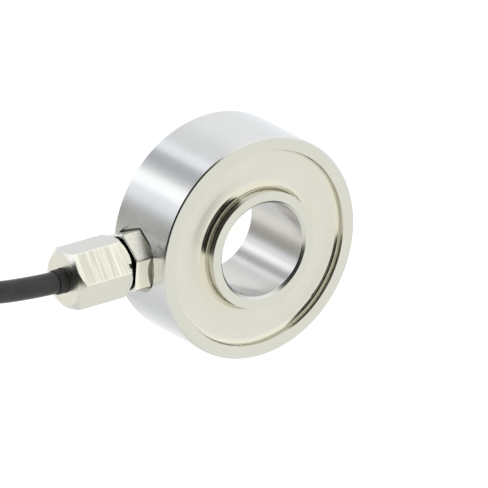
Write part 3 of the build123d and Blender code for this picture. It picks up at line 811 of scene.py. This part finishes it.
@dataclass
class SignalCable:
    """The cable: out of the gland, down to the table, round the tied coil and out over its top."""

    exit_x: float
    exit_z: float
    diameter: float = 5.0
    length: float = 2000.0
    coil_centre: tuple[float, float] = (-109.5, -14.5)
    enter_angle: float = 50.0
    turn_points: int = 18
    crossing: float = 32.0
    row_rise: float = 5.05
    tie_angle: float = -55.0
    tie_lift: float = 0.85
    tie_reach: float = 30.0
    lanes: tuple[tuple[tuple[float, ...], int], ...] = (
        ((35.0, 30.0, 25.0), 0),
        ((22.5, 27.5, 32.5, 37.5), 1),
        ((35.0, 30.0, 25.0), 2),
    )
    tail: tuple[tuple[float, float, float], ...] = (
        (25.2, 128.0, 12.75),
        (25.4, 146.0, 13.3),
        (26.2, 164.0, 15.1),
        (27.2, 184.0, 17.3),
        (28.0, 204.0, 17.65),
        (28.0, 222.0, 17.65),
    )

    def lead_points(self) -> list[tuple[float, float, float]]:
        """The stretch from the lip to the coil, in millimetres."""
        return [
            (self.exit_x, 0.0, self.exit_z),
            (self.exit_x - 5.0, 0.1, self.exit_z - 0.35),
            (-62.6, 0.6, 6.1),
            (-71.5, 2.3, 3.6),
            (-80.1, 6.4, self.diameter / 2),
        ]

    def stations(self) -> list[tuple[float, float, float]]:
        """Where each lane of the coil starts and ends: turned angle, radius and height.

        Between two stations of one lane the turn keeps its radius, and it changes lane between the
        end of one lane and the start of the next.
        """
        found = []
        start = 0.0
        for radii, row in self.lanes:
            height = self.diameter / 2 + row * self.row_rise
            for number, radius in enumerate(radii):
                end = self.lane_end(start, row, number == len(radii) - 1)
                found.append((start, radius, height))
                found.append((end, radius, height))
                start = end + self.crossing
        return found

    def lane_end(self, start: float, row: int, last: bool) -> float:
        """The turned angle at which a lane has to be left, clear of the turn that comes next.

        Args:
            start: the turned angle at which the lane starts.
            row: the row, from 0 at the table.
            last: whether the lane is the row's last.

        Returns:
            The turned angle of the lane's end.
        """
        slot = {0: 1, 1: 3 if last else 2, 2: 3}[row]
        leave = 360.0 - slot * self.crossing
        turns = math.floor((start - leave) / 360.0) + 1
        return leave + 360.0 * turns

    def coil_points(self) -> list[tuple[float, float, float]]:
        """The coil's turns, in millimetres."""
        stations = self.stations()
        last_turn = stations[-2][0]
        tail_turn = self.tail[0][1] - self.enter_angle - 360.0 / self.turn_points
        stop = tail_turn + 360.0 * math.ceil((last_turn - tail_turn) / 360.0)
        count = round(stop * self.turn_points / 360.0)
        points = []
        for number in range(count + 1):
            turned = stop * number / count
            radius, height = self.lane_at(stations, turned)
            points.append(self.on_coil(radius, self.enter_angle + turned, height))
        return points

    def lane_at(
        self, stations: list[tuple[float, float, float]], turned: float
    ) -> tuple[float, float]:
        """Radius and height of the turn at a turned angle.

        Args:
            stations: the lanes' starts and ends.
            turned: degrees from where the cable enters the coil.

        Returns:
            The radius and the height, in millimetres.
        """
        for (angle_a, radius_a, height_a), (angle_b, radius_b, height_b) in zip(stations, stations[1:]):
            if turned <= angle_b:
                share = min(max((turned - angle_a) / (angle_b - angle_a), 0.0), 1.0)
                eased = share * share * (3 - 2 * share)
                return (
                    radius_a + (radius_b - radius_a) * eased,
                    height_a + (height_b - height_a) * eased,
                )
        return stations[-1][1:]

    def on_coil(self, radius: float, angle: float, height: float) -> tuple[float, float, float]:
        """A point on the coil, lifted where the tie passes under the turns.

        Args:
            radius: from the coil's middle, in millimetres.
            angle: in degrees.
            height: over the table, in millimetres.

        Returns:
            The point, in millimetres.
        """
        away = abs((angle - self.tie_angle + 180.0) % 360.0 - 180.0) / self.tie_reach
        lift = self.tie_lift * 0.5 * (1 + math.cos(math.pi * min(away, 1.0)))
        return (
            self.coil_centre[0] + radius * math.cos(math.radians(angle)),
            self.coil_centre[1] + radius * math.sin(math.radians(angle)),
            height + lift,
        )

    def build(self) -> bpy.types.Object:
        """Makes the cable as one smooth curve.

        Returns:
            The curve object.
        """
        data = bpy.data.curves.new("signal_cable", "CURVE")
        data.dimensions = "3D"
        points = self.lead_points() + self.coil_points()
        points += [self.on_coil(*place) for place in self.tail]
        spline = data.splines.new("NURBS")
        spline.points.add(len(points) - 1)
        for point, place in zip(spline.points, points):
            point.co = (*(Vector(place) * MM), 1.0)
            point.radius = self.diameter / 2 * MM
        spline.order_u = 3
        spline.use_endpoint_u = True
        data.resolution_u = 6
        data.bevel_depth = 1.0
        data.bevel_resolution = 6
        data.use_fill_caps = True
        cable = bpy.data.objects.new("signal_cable", data)
        bpy.context.collection.objects.link(cable)
        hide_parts("cable_lead", "cable_coil", "cable_tail")
        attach(cable, "root")
        return cable


def deselect_all() -> None:
    """Leaves nothing selected."""
    if bpy.context.object is not None and bpy.context.object.mode != "OBJECT":
        bpy.ops.object.mode_set(mode="OBJECT")
    bpy.ops.object.select_all(action="DESELECT")


@dataclass
class CoilTie:
    """The nylon tie that holds the wound turns: a band round them, a locking head and its cut end."""

    cable: SignalCable
    width: float = 4.8
    thickness: float = 0.75
    play: float = 0.05
    head: tuple[float, float, float] = (4.2, 6.6, 3.4)
    head_sunk: float = 0.3
    head_round: float = 0.5
    end_beyond: float = 2.4
    end_round: float = 0.2
    fold_radius: float = 1.35
    edge_round: float = 0.18
    coil_radius: float = 30.0

    def corners(self) -> list[tuple[float, float]]:
        """The band's corners round the three rows, from the section's middle: outwards and upwards."""
        half_row = 5.0
        wide_row = 7.5
        rise = self.cable.row_rise
        keep = self.cable.diameter / 2 + self.play
        slope = math.atan2(rise, wide_row - half_row)
        flat = half_row + keep * math.tan(slope / 2)
        side = wide_row + keep / math.sin(slope)
        top = rise + keep
        return [(flat, -top), (side, 0.0), (flat, top), (-flat, top), (-side, 0.0), (-flat, -top)]

    def build(self) -> bpy.types.Object:
        """Makes the tie.

        Returns:
            The tie as one mesh object.
        """
        deselect_all()
        bpy.ops.mesh.primitive_circle_add(vertices=6, radius=1.0, fill_type="NOTHING")
        tie = bpy.context.object
        tie.name = "coil_tie_band"
        for vertex, (outwards, upwards) in zip(tie.data.vertices, self.corners()):
            vertex.co = (outwards * MM, -self.width / 2 * MM, upwards * MM)
        bpy.ops.object.mode_set(mode="EDIT")
        bpy.ops.mesh.select_all(action="SELECT")
        bpy.ops.mesh.extrude_region_move(
            TRANSFORM_OT_translate={"value": (0.0, self.width * MM, 0.0)}
        )
        bpy.ops.mesh.select_all(action="SELECT")
        bpy.ops.mesh.normals_make_consistent(inside=False)
        bpy.ops.object.mode_set(mode="OBJECT")
        for edge in tie.data.edges:
            ends = [tie.data.vertices[index].co.y for index in edge.vertices]
            edge.select = abs(ends[0] - ends[1]) > self.width / 2 * MM
        bpy.ops.object.mode_set(mode="EDIT")
        bpy.ops.mesh.select_mode(type="EDGE")
        bpy.ops.mesh.bevel(offset=self.fold_radius * MM, segments=6, affect="EDGES")
        bpy.ops.object.mode_set(mode="OBJECT")
        solid = tie.modifiers.new("thickness", "SOLIDIFY")
        solid.thickness = self.thickness * MM
        solid.offset = 1.0
        rounded = tie.modifiers.new("edges", "BEVEL")
        rounded.width = self.edge_round * MM
        rounded.segments = 2
        rounded.limit_method = "ANGLE"
        for modifier in ("thickness", "edges"):
            bpy.ops.object.modifier_apply(modifier=modifier)
        head = self.build_head()
        deselect_all()
        head.select_set(True)
        tie.select_set(True)
        bpy.context.view_layer.objects.active = tie
        bpy.ops.object.join()
        self.place(tie)
        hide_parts("coil_tie")
        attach(tie, "root")
        return tie

    def build_head(self) -> bpy.types.Object:
        """Makes the locking head on the outer slope, with the trimmed end of the band.

        Returns:
            The head as a mesh object in the section's own frame.
        """
        corners = self.corners()
        middle = (Vector(corners[1]) + Vector(corners[2])) / 2
        slope = math.atan2(corners[2][1] - corners[1][1], corners[2][0] - corners[1][0])
        outwards = Vector((math.sin(slope), -math.cos(slope)))
        centre = middle + outwards * (self.thickness + self.head[2] / 2 - self.head_sunk)
        deselect_all()
        bpy.ops.mesh.primitive_cube_add(size=1.0)
        head = bpy.context.object
        head.scale = (self.head[0] * MM, self.head[1] * MM, self.head[2] * MM)
        bpy.ops.object.transform_apply(location=False, rotation=False, scale=True)
        bpy.ops.object.mode_set(mode="EDIT")
        bpy.ops.mesh.select_all(action="SELECT")
        bpy.ops.mesh.bevel(offset=self.head_round * MM, segments=3, affect="EDGES")
        bpy.ops.object.mode_set(mode="OBJECT")
        bpy.ops.mesh.primitive_cube_add(size=1.0)
        end = bpy.context.object
        end_length = self.head[2] + self.end_beyond
        end.scale = (self.thickness * 1.1 * MM, self.width * MM, end_length * MM)
        end.location = (self.head[0] * 0.12 * MM, 0.0, 1.0 * MM)
        bpy.ops.object.transform_apply(location=True, rotation=False, scale=True)
        bpy.ops.object.mode_set(mode="EDIT")
        bpy.ops.mesh.select_all(action="SELECT")
        bpy.ops.mesh.bevel(offset=self.end_round * MM, segments=2, affect="EDGES")
        bpy.ops.object.mode_set(mode="OBJECT")
        head.select_set(True)
        bpy.context.view_layer.objects.active = head
        bpy.ops.object.join()
        head.data.transform(
            Matrix.Translation((centre.x * MM, 0.0, centre.y * MM))
            @ Matrix.Rotation(-slope, 4, "Y")
            @ Matrix.Rotation(math.pi, 4, "Y")
        )
        return head

    def place(self, tie: bpy.types.Object) -> None:
        """Puts the tie round the coil, with its place in its mesh.

        Args:
            tie: the tie, made round the section's own middle.
        """
        cable = self.cable
        height = cable.diameter / 2 + cable.row_rise
        middle = cable.on_coil(self.coil_radius, cable.tie_angle, height)
        tie.data.transform(
            Matrix.Translation(Vector(middle) * MM)
            @ Matrix.Rotation(math.radians(cable.tie_angle), 4, "Z")
        )
        for polygon in tie.data.polygons:
            polygon.use_smooth = False
        deselect_all()
        tie.select_set(True)
        bpy.context.view_layer.objects.active = tie
        bpy.ops.object.shade_smooth_by_angle(angle=math.radians(40.0))


@dataclass
class Dresser:
    """Gives every CAD node and new piece its finish."""

    nodes: dict[str, bpy.types.Object]
    made: dict[str, bpy.types.Material] = field(default_factory=dict)

    def wear(self, finish: Finish, *names: str) -> None:
        """Puts a finish on CAD nodes.

        Args:
            finish: the finish, made once for all of them.
            names: the nodes' names, or the starts of their names where these end in an asterisk.
        """
        material = self.material(finish)
        for name in names:
            stem = name.rstrip("*")
            for node, shown in self.nodes.items():
                if node == name or (name.endswith("*") and node.startswith(stem)):
                    dress(shown, material)
                    log.info("%s wears %s", node, finish.name)

    def material(self, finish: Finish) -> bpy.types.Material:
        """The finish's material, made when it is first asked for."""
        if finish.name not in self.made:
            self.made[finish.name] = finish.make()
        return self.made[finish.name]


def dress(piece: bpy.types.Object, material: bpy.types.Material) -> None:
    """Puts one material on all of a piece."""
    if not piece.material_slots:
        piece.data.materials.append(material)
    for slot in piece.material_slots:
        slot.material = material


def main() -> None:
    """Builds the dressed sensor, its studio and its camera."""
    logging.basicConfig(level=logging.INFO, format="%(message)s")
    bpy.context.scene.view_settings.view_transform = "Standard"
    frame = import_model()
    nodes = frame["nodes"]
    _, body_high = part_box("sensor_body")
    nut_low, nut_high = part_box("gland_nut")
    bush_low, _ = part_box("sealing_bush")
    axis_height = (nut_low.z + nut_high.z) / 2 / MM

    Viewpoint().build()
    LightTent().build()
    Table().build()

    jacket = Moulded(
        "jacket_black",
        colour=(0.012, 0.013, 0.018),
        light=(0.023, 0.025, 0.033),
        roughness=0.40,
        mottle_to_a_mm=0.4,
        skin_to_a_mm=5.0,
        skin_depth=0.01,
        sheen=0.04,
    )
    rubber = Moulded(
        "rubber_black",
        colour=(0.012, 0.012, 0.013),
        light=(0.022, 0.022, 0.023),
        roughness=0.5,
        mottle_to_a_mm=0.8,
        skin_to_a_mm=4.0,
        skin_depth=0.01,
    )
    nylon = Moulded(
        "nylon_black",
        colour=(0.014, 0.014, 0.015),
        light=(0.028, 0.028, 0.03),
        roughness=0.36,
        mottle_to_a_mm=0.5,
        skin_to_a_mm=2.0,
        skin_depth=0.01,
    )
    cable = SignalCable(exit_x=bush_low.x / MM, exit_z=axis_height)
    signal_cable = cable.build()
    log.info("signal_cable: one curve of %d points", len(signal_cable.data.splines[0].points))
    tie = CoilTie(cable).build()
    log.info("coil_tie_band: band, head and cut end")

    dresser = Dresser(nodes)
    dress(signal_cable, dresser.material(jacket))
    dress(tie, dresser.material(nylon))
    steel = TurnedStainless(
        "turned_stainless",
        outer_radius=body_high.y / MM,
        bore_radius=BORE_RADIUS,
        hub_height=body_high.z / MM,
        gland_height=axis_height,
    )
    dresser.wear(steel, "sensor_body", "bottom_cover")
    nickel = BrightNickel(
        "bright_nickel",
        axis_height=axis_height,
        apothem=HEX_APOTHEM,
        nut_from=nut_high.x / MM,
        nut_to=nut_low.x / MM,
        adapter_to=nut_high.x / MM + THREAD_GAP,
        adapter_from=nut_high.x / MM + THREAD_GAP + ADAPTER_LENGTH,
    )
    dresser.wear(nickel, "gland_adapter", "gland_nut")
    dresser.wear(PlainMetal("washer_steel", (0.6, 0.6, 0.6), (0.42, 0.42, 0.43), 0.3), "thrust_washer")
    dresser.wear(
        PlainMetal("tinned_copper", (0.72, 0.71, 0.68), (0.5, 0.48, 0.44), 0.32, 6.0, 0.01),
        "gauge_wires_*", "solder_pads", "drain_wire_tail", "red_core_tip", "black_core_tip",
        "green_core_tip", "white_core_tip",
    )
    dresser.wear(PlainMetal("gauge_foil", (0.70, 0.52, 0.30), (0.5, 0.36, 0.2), 0.35), "strain_gauge_*")
    dresser.wear(rubber, "sealing_bush", "adapter_o_ring")
    dresser.wear(jacket, "cable_in_gland")
    dresser.wear(Moulded("potting", (0.03, 0.03, 0.035), (0.06, 0.06, 0.07), 0.3), "potting_ring")
    dresser.wear(Moulded("board_green", (0.01, 0.11, 0.045), (0.015, 0.16, 0.07), 0.4), "circuit_board")
    dresser.wear(Moulded("resistor_black", (0.02, 0.02, 0.02), (0.04, 0.04, 0.04), 0.4), "trim_resistor_*")
    for colour, dark, light in (
        ("red", (0.42, 0.016, 0.014), (0.55, 0.03, 0.025)),
        ("black", (0.014, 0.014, 0.015), (0.03, 0.03, 0.032)),
        ("green", (0.012, 0.19, 0.05), (0.02, 0.27, 0.08)),
        ("white", (0.72, 0.71, 0.68), (0.82, 0.81, 0.78)),
    ):
        dresser.wear(
            Moulded(f"{colour}_insulation", dark, light, 0.34), f"{colour}_core", f"{colour}_core_tail"
        )

    bpy.context.view_layer.update()


if __name__ == "__main__":
    main()
